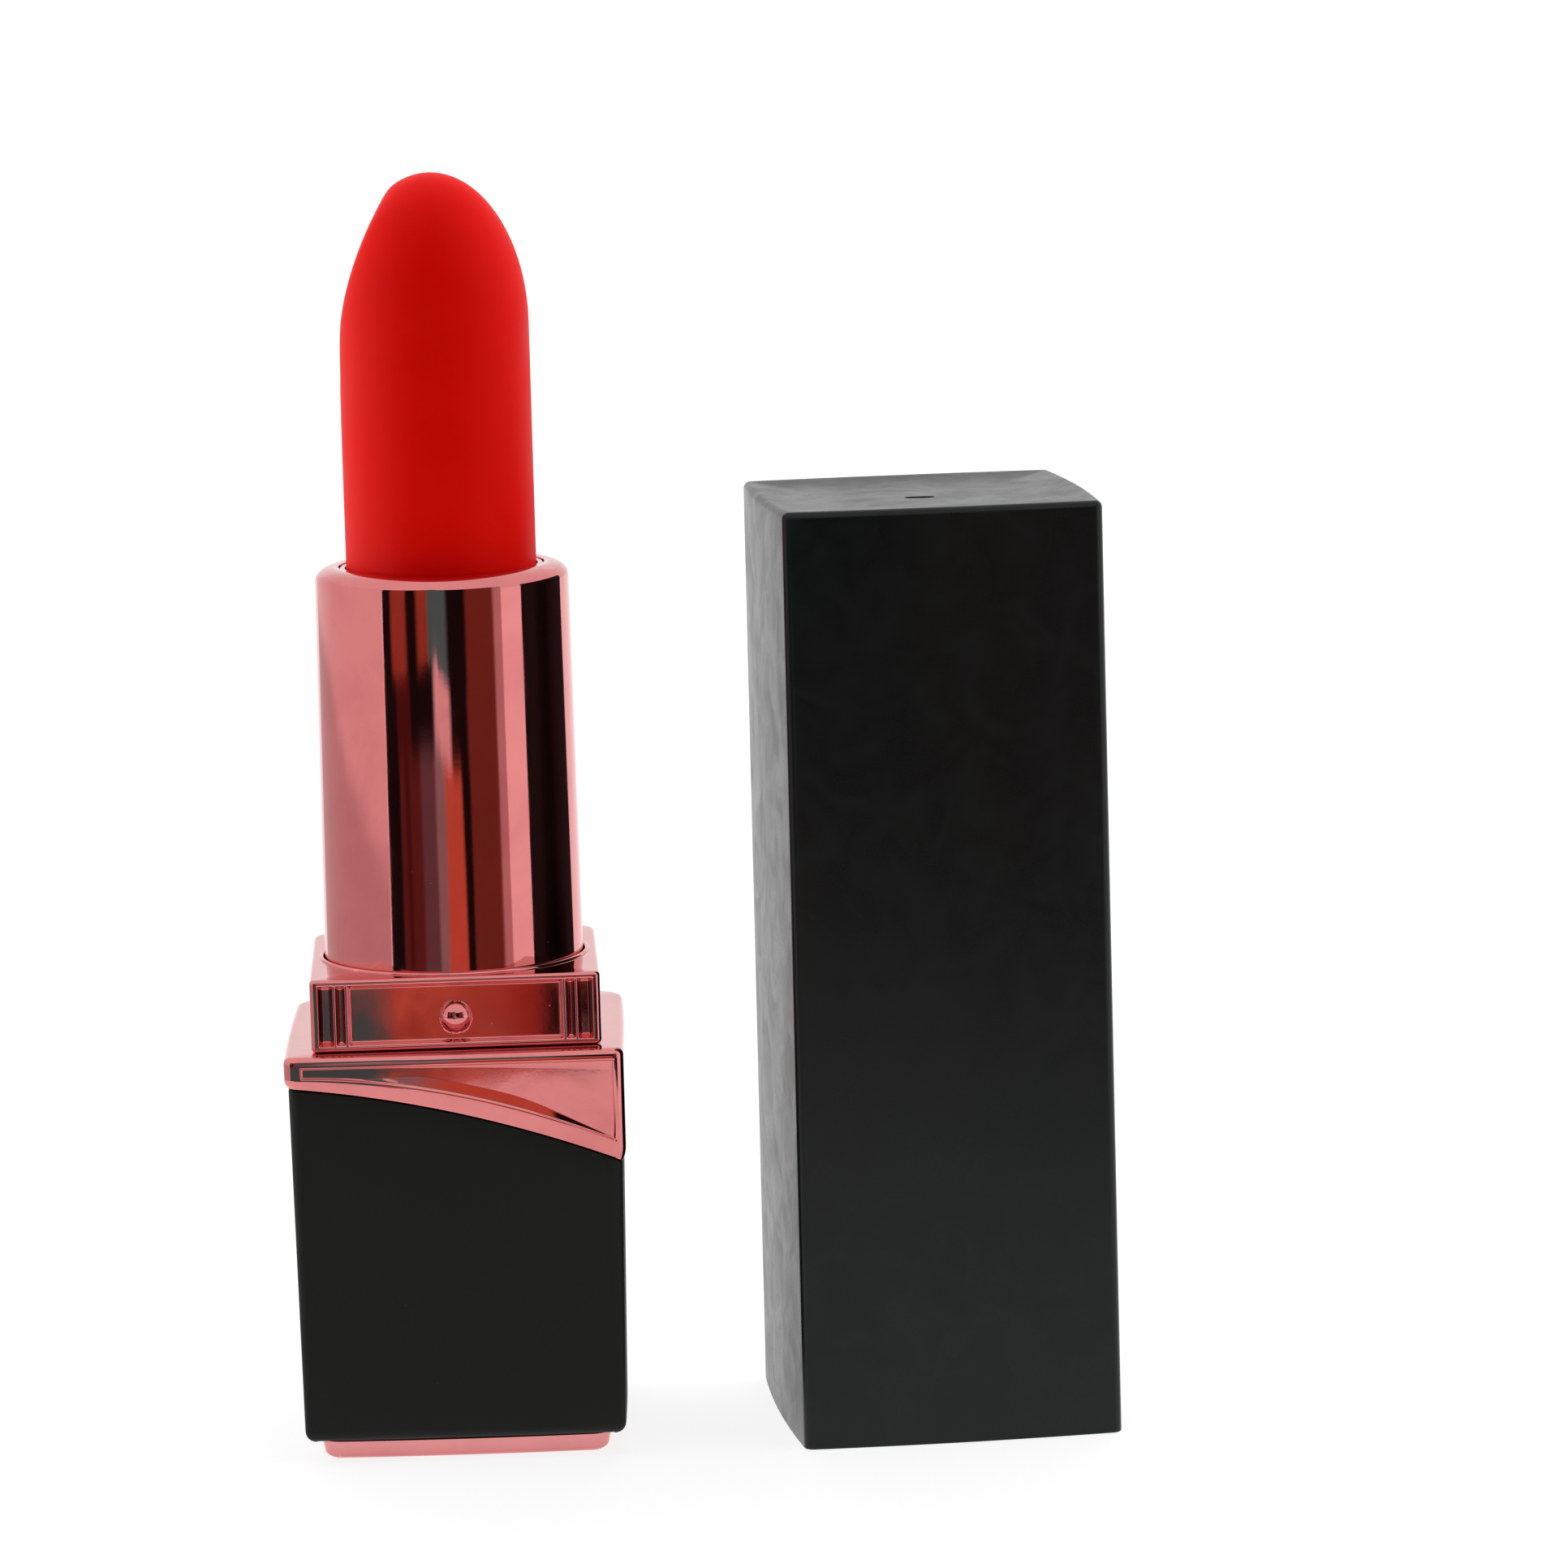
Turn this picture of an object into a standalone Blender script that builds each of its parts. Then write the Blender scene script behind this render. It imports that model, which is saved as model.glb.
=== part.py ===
"""A square twist-up lipstick case, open, with its bullet up and its cap standing beside it.

Metres, +Z up. The origin is the centre of the foot's underside, on the axis of the twist mechanism.
The base stands still. The collar, the outer tube and the spiral sleeve turn on it, and the sleeve's
two helical slots carry the cup's lugs up and down the straight slots of the slotted tube.
"""

from math import atan, atan2, cos, pi, radians, sin

import bmesh
import bpy

# Driving dimensions, in metres. A width is measured across the middle of two opposite sides.
FOOT_WIDTH = 0.01735
FOOT_HEIGHT = 0.0012
BASE_WIDTH_LOW = 0.01912
BASE_WIDTH_HIGH = 0.0194
SHOULDER_WIDTH = 0.01985
SHOULDER_TOP = 0.0242
COLLAR_WIDTH = 0.0168
COLLAR_TOP = 0.02848
COLLAR_TURN = radians(1.3)
TUBE_RADIUS_LOW = 0.00761
TUBE_RADIUS_HIGH = 0.00743
TUBE_TOP = 0.05158
BULLET_RADIUS = 0.00556
BULLET_TOP = 0.0744
CAP_WIDTH = 0.01939
CAP_HEIGHT = 0.05494
CAP_PLACE = (0.02811, 0.00082, 0.0)
CAP_TURN = radians(5.9)

# The twist mechanism: how far the cup rises, and how far it rises in one turn of the sleeve.
TRAVEL = 0.024
LEAD = 0.016

# Clearances: between a turning and a fixed piece, across a joint line, and round a glued piece.
RUNNING = 0.00007
SEAM = 0.0001
GLUE = 0.0001

# The line where the shoulder meets the base falls from left to right across the front and the back.
SEAM_HEIGHT = 0.02075
SEAM_SLOPE = -0.248
SEAM_BEND = -8.0

# Fineness of the faceted shapes.
SIDE_STEPS = 8
CORNER_STEPS = 5
REACH_ROUNDS = 8
ROUND_STEPS = 48


def seam_height(x):
    """Height of the joint line between shoulder and base at this distance from the middle."""
    return SEAM_HEIGHT + SEAM_SLOPE * x + SEAM_BEND * x * x


# Outlines and rings


def corner_reach(half, bow, corner):
    """Where a bowed side ends and its corner's arc begins, and how far the side leans there."""
    reach = half - corner
    for _ in range(REACH_ROUNDS):
        lean = atan(2 * bow * reach)
        reach = half - bow * reach * reach - corner * (cos(lean) - sin(lean))
    return reach, lean


def square_loop(width, bulge, corner, back=None):
    """A square whose sides bow out by about bulge, anticlockwise. The two back corners may differ."""
    half = width / 2
    bow = bulge / (half * half)
    front_end = (*corner_reach(half, bow, corner), corner)
    back_end = (*corner_reach(half, bow, back), back) if back else front_end
    loop = []
    for turn in range(4):
        start = (front_end, back_end, back_end, front_end)[turn]
        reach, lean, radius = (back_end, back_end, front_end, front_end)[turn]
        side = []
        for step in range(SIDE_STEPS + 1):
            y = -start[0] + (start[0] + reach) * step / SIDE_STEPS
            side.append((half - bow * y * y, y))
        centre = reach - radius * sin(lean)
        for step in range(1, CORNER_STEPS):
            angle = lean + (pi / 2 - 2 * lean) * step / CORNER_STEPS
            side.append((centre + radius * cos(angle), centre + radius * sin(angle)))
        c, s = ((1, 0), (0, 1), (-1, 0), (0, -1))[turn]
        loop += [(x * c - y * s, x * s + y * c) for x, y in side]
    return loop


def round_loop(radius, like=None):
    """A circle in even steps, or with its points at the angles of another loop's points."""
    if like is None:
        angles = [2 * pi * step / ROUND_STEPS for step in range(ROUND_STEPS)]
    else:
        angles = [atan2(y, x) for x, y in like]
    return [(radius * cos(angle), radius * sin(angle)) for angle in angles]


def at_height(loop, height):
    return [(x, y, height) for x, y in loop]


def at_seam(loop, offset):
    """The loop raised to the sloping joint line, plus an offset."""
    return [(x, y, seam_height(x) + offset) for x, y in loop]


def loft(rings, closed=True):
    """Skin over rings of points. Closed joins the last ring to the first; otherwise both get a cap."""
    mesh = bmesh.new()
    rows = [[mesh.verts.new(point) for point in ring] for ring in rings]
    pairs = list(zip(rows, rows[1:]))
    if closed:
        pairs.append((rows[-1], rows[0]))
    else:
        mesh.faces.new(list(reversed(rows[0])))
        mesh.faces.new(rows[-1])
    for low, high in pairs:
        for i, j in zip(range(len(low)), list(range(1, len(low))) + [0]):
            mesh.faces.new((low[i], low[j], high[j], high[i]))
    return mesh


def turned(profile, closed=True):
    """A solid of revolution about Z from (radius, height) points: up the outside, down the inside."""
    return loft([at_height(round_loop(radius), height) for radius, height in profile], closed)


def prism(outline, depth):
    """An outline in (x, z) made solid along Y, from -depth/2 to depth/2."""
    near = [(x, -depth / 2, z) for x, z in outline]
    far = [(x, depth / 2, z) for x, z in outline]
    return loft([near, far], closed=False)


def rounding(centre_r, centre_z, radius, start, end, steps):
    """Points of an arc in (radius, height), with its angles in degrees from +radius."""
    angles = [radians(start + (end - start) * step / steps) for step in range(steps + 1)]
    return [(centre_r + radius * cos(a), centre_z + radius * sin(a)) for a in angles]


# Objects


def finish(name, red, green, blue, roughness, metallic):
    """A material of the piece's own colour."""
    made = bpy.data.materials.new(name)
    made.use_nodes = True
    shader = made.node_tree.nodes["Principled BSDF"]
    shader.inputs["Base Color"].default_value = (red, green, blue, 1)
    shader.inputs["Roughness"].default_value = roughness
    shader.inputs["Metallic"].default_value = metallic
    return made


def piece(name, mesh, look, parent):
    """An object from a mesh, facing out and shaded smooth across its shallow edges."""
    bmesh.ops.recalc_face_normals(mesh, faces=mesh.faces[:])
    data = bpy.data.meshes.new(name)
    mesh.to_mesh(data)
    mesh.free()
    data.shade_smooth()
    data.set_sharp_from_angle(angle=radians(30))
    made = bpy.data.objects.new(name, data)
    bpy.context.scene.collection.objects.link(made)
    made.parent = parent
    if look:
        data.materials.append(look)
    return made


def combine(target, name, mesh, operation):
    """Cuts a mesh out of a piece, or joins it on, by a Boolean with a hidden helper object."""
    helper = piece(name, mesh, None, target.parent)
    helper.hide_render = True
    helper.display_type = "WIRE"
    step = target.modifiers.new(name, "BOOLEAN")
    step.operation = operation
    step.solver = "EXACT"
    step.object = helper


def joint_empty(name, location=(0, 0, 0), turn=0.0):
    """An empty on a joint's axis, which the pieces of one body hang from."""
    made = bpy.data.objects.new(name, None)
    made.location = location
    made.rotation_euler = (0, 0, turn)
    bpy.context.scene.collection.objects.link(made)
    return made


def merged(meshes):
    """Several meshes as one, for a helper with separate parts."""
    whole = bmesh.new()
    for mesh in meshes:
        data = bpy.data.meshes.new("part")
        bmesh.ops.recalc_face_normals(mesh, faces=mesh.faces[:])
        mesh.to_mesh(data)
        mesh.free()
        whole.from_mesh(data)
        bpy.data.meshes.remove(data)
    return whole


def quarter_turns(build):
    """Four copies of what build() makes, one for each side of the square."""
    copies = []
    for turn in range(4):
        mesh = build()
        spin(mesh, turn * pi / 2)
        copies.append(mesh)
    return copies


def spin(mesh, angle):
    """Turns a mesh about Z."""
    c, s = cos(angle), sin(angle)
    for vert in mesh.verts:
        x, y, z = vert.co
        vert.co = (x * c - y * s, x * s + y * c, z)


# The base: foot, shell, shoulder, core, weight and slotted tube

FOOT_BULGE = 0.00028
FOOT_CORNER = 0.0012
FOOT_EDGE = ((0.0007, 0), (0.00035, 0.0002), (0.0001, 0.0006))
BODY_BULGE = 0.00012
BODY_CORNER = 0.0007
BACK_CORNER = 0.0020
INNER_CORNER = 0.0006
SHELL_FLOOR = FOOT_HEIGHT + 0.0012
SHELL_INSIDE = 0.0171
SHELL_EDGE = 0.00065
SPIGOT_WIDTH = 0.0148
SPIGOT_TOP = 0.0033
PLUG_WIDTH = SHELL_INSIDE - 2 * GLUE
PLUG_INSIDE = 0.0158
PLUG_BOTTOM = 0.0122
SHOULDER_PLATE = 0.0012
SHOULDER_HOLE = 0.00785
SHOULDER_BEVEL = 0.0003
SHOULDER_DRAFT = 0.00005
CORE_BOTTOM = SPIGOT_TOP + GLUE
CORE_SOCKET = 0.0100
CORE_STEP = PLUG_BOTTOM - GLUE
CORE_TOP = 0.0188
CORE_RADIUS = 0.00765
CORE_HOLE = 0.003
SOCKET_RADIUS = 0.0072
WEIGHT_RADIUS = 0.0064
WEIGHT_HEIGHT = 0.0049


def base_foot(look, parent):
    """The plate that the case stands on, with a spigot that plugs the base from below."""
    def ring(width, height):
        return at_height(square_loop(width, FOOT_BULGE, FOOT_CORNER), height)

    rings = [ring(FOOT_WIDTH - 2 * inset, height) for inset, height in FOOT_EDGE]
    rings += [
        ring(FOOT_WIDTH, FOOT_HEIGHT),
        ring(SPIGOT_WIDTH, FOOT_HEIGHT),
        ring(SPIGOT_WIDTH, SPIGOT_TOP),
    ]
    return piece("base_foot", loft(rings, closed=False), look, parent)


def base_shell(look, parent):
    """The soft-touch outer base: a square sleeve whose upper edge follows the sloping joint line."""
    bottom = FOOT_HEIGHT + SEAM

    def ring(width, height):
        return at_height(square_loop(width, BODY_BULGE, BODY_CORNER, BACK_CORNER), height)

    inner = square_loop(SHELL_INSIDE, BODY_BULGE, INNER_CORNER)
    lip = square_loop(SPIGOT_WIDTH + 2 * GLUE, FOOT_BULGE, FOOT_CORNER)
    rings = []
    for inset, rise in rounding(0, SHELL_EDGE, SHELL_EDGE, -90, 0, 4):
        rings.append(ring(BASE_WIDTH_LOW - 2 * (SHELL_EDGE - inset), bottom + rise))
    rings += [
        at_seam(square_loop(BASE_WIDTH_HIGH, BODY_BULGE, BODY_CORNER, BACK_CORNER), -SEAM),
        at_seam(inner, -SEAM),
        at_height(inner, SHELL_FLOOR + SEAM),
        at_height(lip, SHELL_FLOOR + SEAM),
        at_height(lip, bottom),
    ]
    return piece("base_shell", loft(rings), look, parent)


def shoulder_trim(look, parent):
    """The metallised shoulder: a square band over the shell, a round hole, and a plug that goes inside."""
    def outline(inset):
        return square_loop(SHOULDER_WIDTH - 2 * inset, BODY_BULGE, BODY_CORNER, BACK_CORNER)

    rim = outline(SHOULDER_BEVEL)
    hole = round_loop(SHOULDER_HOLE, like=rim)
    plug_in = square_loop(PLUG_INSIDE, 0, INNER_CORNER)
    plug_out = square_loop(PLUG_WIDTH, BODY_BULGE, INNER_CORNER)
    rings = [
        at_seam(outline(SHOULDER_DRAFT), 0),
        at_height(outline(0), SHOULDER_TOP - SHOULDER_BEVEL),
        at_height(rim, SHOULDER_TOP),
        at_height(hole, SHOULDER_TOP),
        at_height(hole, SHOULDER_TOP - SHOULDER_PLATE),
        at_height(plug_in, SHOULDER_TOP - SHOULDER_PLATE - SHOULDER_DRAFT),
        at_height(plug_in, PLUG_BOTTOM),
        at_height(plug_out, PLUG_BOTTOM),
        at_seam(plug_out, 0),
    ]
    made = piece("shoulder_trim", loft(rings), look, parent)
    combine(made, "panel_cutter", merged([panel_recess(0), panel_recess(pi)]), "DIFFERENCE")
    return made


PANEL_DEPTH = 0.0003
PANEL_TOP = SHOULDER_TOP - 0.00065
PANEL_LEFT = -0.0088
PANEL_RIGHT = 0.0092


def panel_floor(x):
    """Lower edge of the shoulder's recessed panel, over a band that is narrowest at the left."""
    return seam_height(x) + 0.00113 + 0.024 * x - 3.5 * x * x


def panel_recess(turn):
    """The shallow recess in the shoulder's front. Turned half round, it is the one in its back."""
    below = []
    for step in range(SIDE_STEPS + 1):
        x = PANEL_LEFT + (PANEL_RIGHT - PANEL_LEFT) * step / SIDE_STEPS
        below.append((x, panel_floor(x)))
    outline = below + [(PANEL_RIGHT, PANEL_TOP), (PANEL_LEFT, PANEL_TOP)]
    if turn:
        outline = [(-x, z) for x, z in reversed(outline)]
    reach = 0.002
    mesh = prism(outline, reach)
    middle = SHOULDER_WIDTH / 2 - PANEL_DEPTH + reach / 2
    bmesh.ops.translate(mesh, verts=mesh.verts[:], vec=(0, -middle, 0))
    if turn:
        spin(mesh, pi)
    return mesh


def base_core(look, parent):
    """The inner base: a square block with a pocket for the weight and a round socket for the mechanism."""
    square = square_loop(PLUG_WIDTH, BODY_BULGE, INNER_CORNER)

    def bore(radius, height):
        return at_height(round_loop(radius, like=square), height)

    pocket_top = CORE_BOTTOM + WEIGHT_HEIGHT + GLUE
    rings = [
        at_height(square, CORE_BOTTOM),
        at_height(square, CORE_STEP),
        bore(CORE_RADIUS, CORE_STEP),
        bore(CORE_RADIUS, CORE_TOP),
        bore(SOCKET_RADIUS, CORE_TOP),
        bore(SOCKET_RADIUS, CORE_SOCKET),
        bore(CORE_HOLE, CORE_SOCKET),
        bore(CORE_HOLE, pocket_top),
        bore(WEIGHT_RADIUS + 2 * GLUE, pocket_top),
        bore(WEIGHT_RADIUS + 2 * GLUE, CORE_BOTTOM),
    ]
    return piece("base_core", loft(rings), look, parent)


def base_weight(look, parent):
    """The steel slug in the core's pocket, with a small chamfer on both faces."""
    low, high = CORE_BOTTOM + GLUE / 2, CORE_BOTTOM + WEIGHT_HEIGHT
    chamfer = 0.0003
    profile = [
        (WEIGHT_RADIUS - chamfer, low),
        (WEIGHT_RADIUS, low + chamfer),
        (WEIGHT_RADIUS, high - chamfer),
        (WEIGHT_RADIUS - chamfer, high),
    ]
    return piece("base_weight", turned(profile, closed=False), look, parent)


# Radii of the nested tubes, from the bullet outwards, and the heights of the twist mechanism.
CUP_INSIDE = BULLET_RADIUS + 0.00008
CUP_RADIUS = 0.00596
SLOTTED_INSIDE = CUP_RADIUS + RUNNING
SLOTTED_RADIUS = 0.00642
SLEEVE_INSIDE = SLOTTED_RADIUS + RUNNING
SLEEVE_RADIUS = 0.00698
TUBE_INSIDE = 0.00705
LUG_RADIUS = 0.0009
LUG_REACH = 0.0069
LUG_HEIGHT = 0.0425
CUP_BOTTOM = 0.0410
CUP_RIM = TUBE_TOP - 0.00025
CUP_FLOOR = 0.0010
FLANGE_BOTTOM = CORE_SOCKET + GLUE
FLANGE_TOP = FLANGE_BOTTOM + 0.0010
RING_TOP = FLANGE_TOP + 0.0010
SLEEVE_BOTTOM = RING_TOP + GLUE
MECHANISM_TOP = 0.0498
SLOT_ROOM = 0.0001
SLOT_HALF_WIDTH = LUG_RADIUS + SLOT_ROOM
SLOT_END_ROOM = 0.0003
GROOVE_HALF_HEIGHT = 0.0011
CUT_THROUGH = 0.0003
CUP_CHAMFER = 0.0003
LUG_ROOT = 0.00012


def slotted_tube(look, parent):
    """The fixed inner tube. Its flange is glued in the core, and two straight slots guide the lugs."""
    profile = [
        (SOCKET_RADIUS - 2 * GLUE, FLANGE_BOTTOM),
        (SOCKET_RADIUS - 2 * GLUE, FLANGE_TOP),
        (SLOTTED_RADIUS, FLANGE_TOP),
        (SLOTTED_RADIUS, MECHANISM_TOP),
        (SLOTTED_INSIDE, MECHANISM_TOP),
        (SLOTTED_INSIDE, FLANGE_BOTTOM),
    ]
    made = piece("slotted_tube", turned(profile), look, parent)
    combine(made, "slot_cutter", straight_slot(), "DIFFERENCE")
    return made


def straight_slot():
    """One round-ended bar along X, which opens the slots on both sides of the tube."""
    low = LUG_HEIGHT - TRAVEL - SLOT_END_ROOM
    high = LUG_HEIGHT + SLOT_END_ROOM
    outline = rounding(0, low, SLOT_HALF_WIDTH, 180, 360, 8)
    outline += rounding(0, high, SLOT_HALF_WIDTH, 0, 180, 8)
    mesh = prism(outline, 4 * SLOTTED_RADIUS)
    spin(mesh, pi / 2)
    return mesh


# The turning pieces: collar, outer tube, spiral sleeve and friction ring

COLLAR_BOTTOM = SHOULDER_TOP + SEAM
COLLAR_BORE = 0.00775
COLLAR_CORNER = 0.0004
COLLAR_BACK = 0.0016
COLLAR_EDGE = 0.0001
TUBE_BOTTOM = 0.0200
LIP_INWARD = 0.00128
LIP_RISE = 0.00152
LIP_STEP = 0.00015
LIP_GAP = 0.00015
LIP_ROOM = 0.0002
COLLAR_RECESS = 0.0003
PIP_RADIUS = 0.00095
PIP_STAND = 0.0006
PIP_ROOT = 0.0002
PIP_HEIGHT = (COLLAR_BOTTOM + COLLAR_TOP) / 2 - 0.00027
COLLAR_PANEL = 0.0061
COLLAR_WINDOW = (0.0072, 0.0078)
WINDOW_RECESS = 0.0005
COLLAR_GROOVE = (0.0065, 0.0068)
COLLAR_RIM = 0.0005


def collar(look, parent):
    """The square collar that the cap snaps onto. It is glued round the outer tube, and turns with it."""
    edge = COLLAR_EDGE
    rim = square_loop(COLLAR_WIDTH - 2 * edge, 0, COLLAR_CORNER - edge, COLLAR_BACK)
    square = square_loop(COLLAR_WIDTH, 0, COLLAR_CORNER, COLLAR_BACK)
    bore = round_loop(COLLAR_BORE, like=square)
    rings = [
        at_height(square, COLLAR_BOTTOM),
        at_height(square, COLLAR_TOP - edge),
        at_height(rim, COLLAR_TOP),
        at_height(bore, COLLAR_TOP),
        at_height(bore, COLLAR_BOTTOM),
    ]
    made = piece("collar", loft(rings), look, parent)
    combine(made, "collar_cutter", merged(quarter_turns(collar_recesses)), "DIFFERENCE")
    combine(made, "pip_joiner", merged([pip(0), pip(pi)]), "UNION")
    return made


def collar_recesses():
    """Sunk panels in the collar's front: a wide one, and a groove and a window at each end."""
    low, high = COLLAR_BOTTOM + COLLAR_RIM, COLLAR_TOP - COLLAR_RIM
    spans = [(-COLLAR_PANEL, COLLAR_PANEL, COLLAR_RECESS)]
    for (left, right), depth in ((COLLAR_WINDOW, WINDOW_RECESS), (COLLAR_GROOVE, COLLAR_RECESS)):
        spans += [(left, right, depth), (-right, -left, depth)]
    reach = 0.001
    parts = []
    for left, right, depth in spans:
        mesh = prism([(left, low), (right, low), (right, high), (left, high)], reach)
        middle = COLLAR_WIDTH / 2 - depth + reach / 2
        bmesh.ops.translate(mesh, verts=mesh.verts[:], vec=(0, -middle, 0))
        parts.append(mesh)
    return merged(parts)


def pip(turn):
    """The domed snap pip in the middle of the front, or of the back, with its root inside the wall."""
    face = -(COLLAR_WIDTH / 2 - COLLAR_RECESS)
    dome = [(PIP_RADIUS * across, PIP_STAND * out) for across, out in rounding(0, 0, 1, 0, 80, 4)]
    rings = []
    for radius, out in [(PIP_RADIUS, -PIP_ROOT)] + dome:
        ring = []
        for step in range(20):
            angle = 2 * pi * step / 20
            ring.append((radius * cos(angle), face - out, PIP_HEIGHT + radius * sin(angle)))
        rings.append(ring)
    mesh = loft(rings, closed=False)
    spin(mesh, turn)
    return mesh


def outer_tube(look, parent):
    """The metallised tube: it turns in the shoulder's hole, and its rounded lip covers the mechanism."""
    lip_hole = CUP_RADIUS + LIP_GAP
    profile = [
        (TUBE_RADIUS_LOW, TUBE_BOTTOM),
        (TUBE_RADIUS_LOW, COLLAR_TOP),
    ]
    for inward, rise in rounding(0, 0, 1, 0, 90, 7):
        radius = TUBE_RADIUS_HIGH - LIP_INWARD * (1 - inward)
        profile.append((radius, TUBE_TOP - LIP_RISE * (1 - rise)))
    profile += [
        (lip_hole, TUBE_TOP - LIP_STEP),
        (lip_hole, MECHANISM_TOP + LIP_ROOM),
        (TUBE_INSIDE, MECHANISM_TOP + LIP_ROOM),
        (TUBE_INSIDE, TUBE_BOTTOM),
    ]
    return piece("outer_tube", turned(profile), look, parent)


def spiral_sleeve(look, parent):
    """The cam sleeve: a thin tube with two helical slots, half a turn apart, that drive the lugs."""
    profile = [
        (SLEEVE_RADIUS, SLEEVE_BOTTOM),
        (SLEEVE_RADIUS, MECHANISM_TOP),
        (SLEEVE_INSIDE, MECHANISM_TOP),
        (SLEEVE_INSIDE, SLEEVE_BOTTOM),
    ]
    made = piece("spiral_sleeve", turned(profile), look, parent)
    starts = [helical_bar(0), helical_bar(pi)]
    combine(made, "helix_cutter", merged(starts), "DIFFERENCE")
    return made


def helical_bar(start):
    """A bar along a helix that falls anticlockwise, from just above the lug to the travel's end."""
    step_angle = 2 * pi / ROUND_STEPS
    over_run = 2
    steps = round(ROUND_STEPS * TRAVEL / LEAD)
    near, far = SLEEVE_INSIDE - CUT_THROUGH, SLEEVE_RADIUS + CUT_THROUGH
    rings = []
    for step in range(-over_run, steps + over_run + 1):
        angle = start + step * step_angle
        height = LUG_HEIGHT - LEAD * step * step_angle / (2 * pi)
        low, high = height - GROOVE_HALF_HEIGHT, height + GROOVE_HALF_HEIGHT
        section = ((near, low), (far, low), (far, high), (near, high))
        rings.append([(r * cos(angle), r * sin(angle), z) for r, z in section])
    return loft(rings, closed=False)


def friction_ring(look, parent):
    """The soft ring between the slotted tube's flange and the sleeve, which keeps the twist firm."""
    profile = [
        (SLEEVE_RADIUS, FLANGE_TOP + GLUE / 2),
        (SLEEVE_RADIUS, RING_TOP),
        (SLEEVE_INSIDE, RING_TOP),
        (SLEEVE_INSIDE, FLANGE_TOP + GLUE / 2),
    ]
    return piece("friction_ring", turned(profile), look, parent)


# The rising pieces: cup and bullet


def carrier_cup(look, parent):
    """The cup that holds the bullet, with a round lug on each side."""
    profile = [
        (CUP_RADIUS - CUP_CHAMFER, CUP_BOTTOM),
        (CUP_RADIUS, CUP_BOTTOM + CUP_CHAMFER),
        (CUP_RADIUS, CUP_RIM),
        (CUP_INSIDE, CUP_RIM),
        (CUP_INSIDE, CUP_BOTTOM + CUP_FLOOR),
    ]
    made = piece("carrier_cup", turned(profile, closed=False), look, parent)
    combine(made, "lug_joiner", merged([lug(0), lug(pi)]), "UNION")
    return made


def lug(turn):
    """A round peg along +X, from inside the cup's wall out into the helical slot."""
    rings = []
    for x in (CUP_INSIDE + LUG_ROOT, LUG_REACH):
        ring = []
        for step in range(16):
            angle = 2 * pi * step / 16
            ring.append((x, LUG_RADIUS * cos(angle), LUG_HEIGHT + LUG_RADIUS * sin(angle)))
        rings.append(ring)
    mesh = loft(rings, closed=False)
    spin(mesh, turn)
    return mesh


DOME_HEIGHT = 0.0088
SLANT_DEPTH = 0.0087


def slant(depth):
    """Distance of the bullet's slanted face from the axis, at this depth below the tip."""
    return 0.00185 + 0.66 * depth - 28 * depth * depth


def lipstick_bullet(look, parent):
    """The stick: a cylinder under a tall dome, with a slightly crowned slanted face on its left."""
    base = CUP_BOTTOM + CUP_FLOOR + GLUE
    shoulder = BULLET_TOP - DOME_HEIGHT
    heights = [base, CUP_RIM, (CUP_RIM + shoulder) / 2, shoulder - 0.0002]
    dome_steps = 12
    heights += [shoulder + DOME_HEIGHT * sin(pi / 2 * step / dome_steps) for step in range(dome_steps)]
    rings = []
    for height in heights:
        up = max(0.0, (height - shoulder) / DOME_HEIGHT)
        radius = BULLET_RADIUS * (1 - up * up) ** 0.5
        depth = BULLET_TOP - height
        flat = slant(depth) if depth < SLANT_DEPTH else radius
        rings.append([(max(x, -flat), y, height) for x, y in round_loop(radius)])
    return piece("lipstick_bullet", loft(rings, closed=False), look, parent)


# The cap: shell and liner, modelled about the cap's own axis with its mouth at zero height

CAP_BULGE = 0.00035
CAP_CORNER = 0.0006
CAP_DRAFT = 0.0001
CAP_INSIDE = 0.0179
CAP_ROOF = 0.0012
CAP_DISH = 0.0004
CAP_EDGE = 0.0004
CAP_TOP_CORNER = 0.0012
CAP_TOP_ROWS = ((0.0014, 0.00018), (0.0044, CAP_DISH))
LINER_WALL = 0.00035
LINER_BOTTOM = 0.0004
LINER_TOP = 0.0210
LINER_CORNER = 0.0005


def cap_shell(look, parent):
    """The outer cap: a tall square cup, mouth down, with a slightly dished top."""
    def ring(inset, height, corner=CAP_CORNER, bulge=CAP_BULGE):
        width = CAP_WIDTH - 2 * inset - 2 * CAP_DRAFT * height / CAP_HEIGHT
        return at_height(square_loop(width, bulge, corner), height)

    inside = square_loop(CAP_INSIDE, 0, INNER_CORNER)
    rings = [at_height(inside, CAP_HEIGHT - CAP_ROOF), at_height(inside, 0), ring(0, 0)]
    for inset, rise in rounding(0, 0, CAP_EDGE, 0, 90, 3):
        rings.append(ring(CAP_EDGE - inset, CAP_HEIGHT - CAP_EDGE + rise))
    for inset, dish in CAP_TOP_ROWS:
        rings.append(ring(inset, CAP_HEIGHT - dish, CAP_TOP_CORNER))
    made = piece("cap_shell", loft(rings, closed=False), look, parent)
    combine(made, "gate_cutter", gate_recess(), "DIFFERENCE")
    return made


def gate_recess():
    """The small round-ended recess in the middle of the cap's top."""
    half_length, half_width, depth = 0.0009, 0.00045, 0.0003
    straight = half_length - half_width
    outline = []
    for side, start in ((straight, -90), (-straight, 90)):
        outline += [(side + a, b) for a, b in rounding(0, 0, half_width, start, start + 180, 5)]
    top = CAP_HEIGHT - CAP_DISH
    return loft([at_height(outline, top - depth), at_height(outline, top + depth)], closed=False)


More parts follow.
